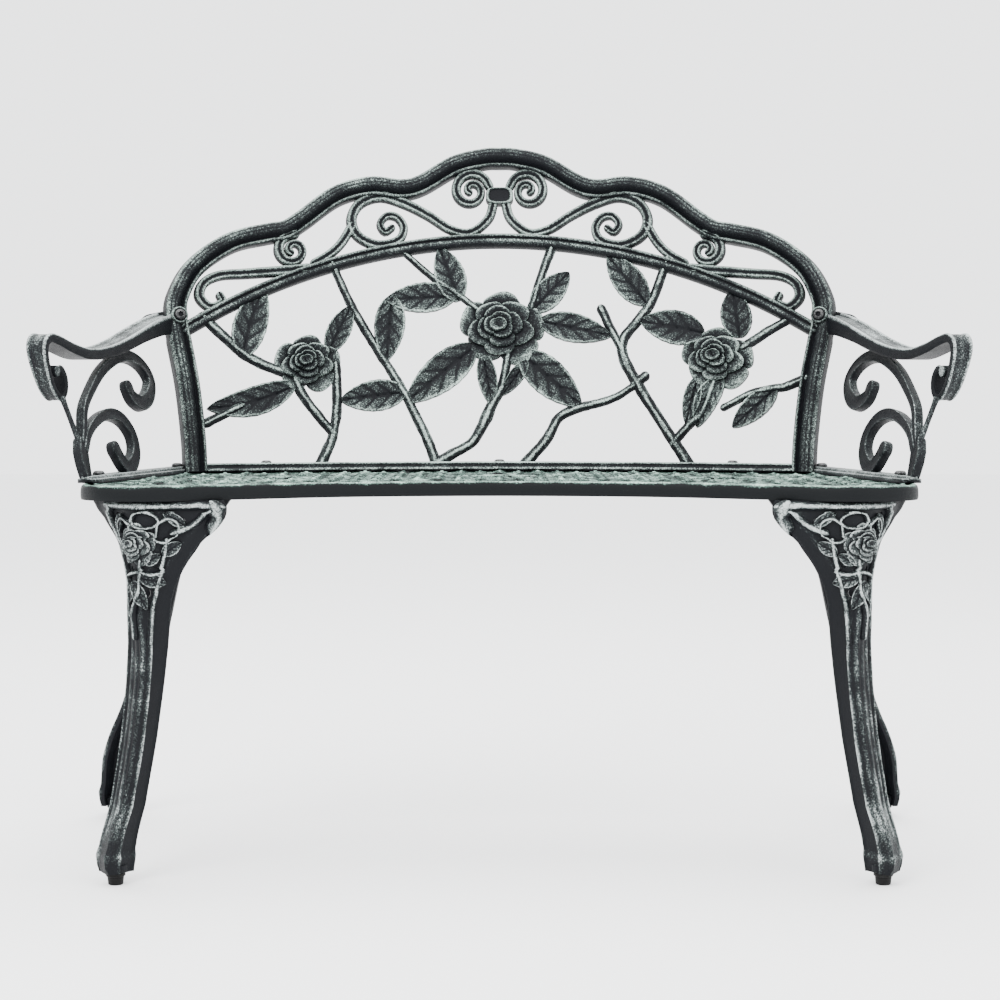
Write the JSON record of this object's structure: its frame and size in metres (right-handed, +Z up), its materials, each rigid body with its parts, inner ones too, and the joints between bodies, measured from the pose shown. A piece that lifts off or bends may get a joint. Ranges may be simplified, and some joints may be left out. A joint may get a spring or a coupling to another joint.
{
  "type": "garden bench",
  "caption": "Two-seat cast garden bench with a curved openwork rose back, scrolled arms, a kidney-shaped lattice seat and cabriole legs.",
  "frame": {"origin": "middle of the bounding box in plan, on the ground under the foot pads", "axes": "+X along the bench to the right as seen from the front, +Y towards the back, +Z up; the sitter faces -Y"},
  "size_m": [1.0104, 0.4939, 0.818],
  "materials": {
    "back_patina": "antique green paint rubbed through to silver on the raised edges",
    "seat_patina": "pale green rubbed patina on cast aluminium",
    "arm_patina": "antique green paint with pale rubbed tops",
    "leg_patina": "dark antique green paint, rubbed pale on the ridges",
    "hardware": "dark satin",
    "foot_plastic": "black moulded plastic"
  },
  "bodies": {
    "root": {"arm_back_bolts": "hardware", "arm_back_nuts": "hardware", "arm_flange_left": "arm_patina", "arm_flange_right": "arm_patina", "arm_lower_scroll_left": "arm_patina", "arm_lower_scroll_right": "arm_patina", "arm_post_left": "arm_patina", "arm_post_right": "arm_patina", "arm_rail_left": "arm_patina", "arm_rail_right": "arm_patina", "arm_seat_bolts": "hardware", "arm_upper_scroll_left": "arm_patina", "arm_upper_scroll_right": "arm_patina", "back_arch_rail": "back_patina", "back_bottom_rail": "back_patina", "back_hoop": "back_patina", "back_post_left": "back_patina", "back_post_right": "back_patina", "back_scrolls_left": "back_patina", "back_scrolls_right": "back_patina", "glide_front_left": "foot_plastic", "glide_front_right": "foot_plastic", "glide_rear_left": "foot_plastic", "glide_rear_right": "foot_plastic", "leaves_centre": "back_patina", "leaves_left": "back_patina", "leaves_right": "back_patina", "leg_bolts": "hardware", "leg_front_left": "leg_patina", "leg_front_right": "leg_patina", "leg_rear_left": "leg_patina", "leg_rear_right": "leg_patina", "rail_bolts": "hardware", "rose_centre": "back_patina", "rose_left": "back_patina", "rose_right": "back_patina", "scroll_clasp": "back_patina", "seat": "seat_patina", "seat_nuts": "hardware", "seat_washers": "hardware", "vine_centre": "back_patina", "vine_left": "back_patina", "vine_right": "back_patina"}
  },
  "joints": []
}
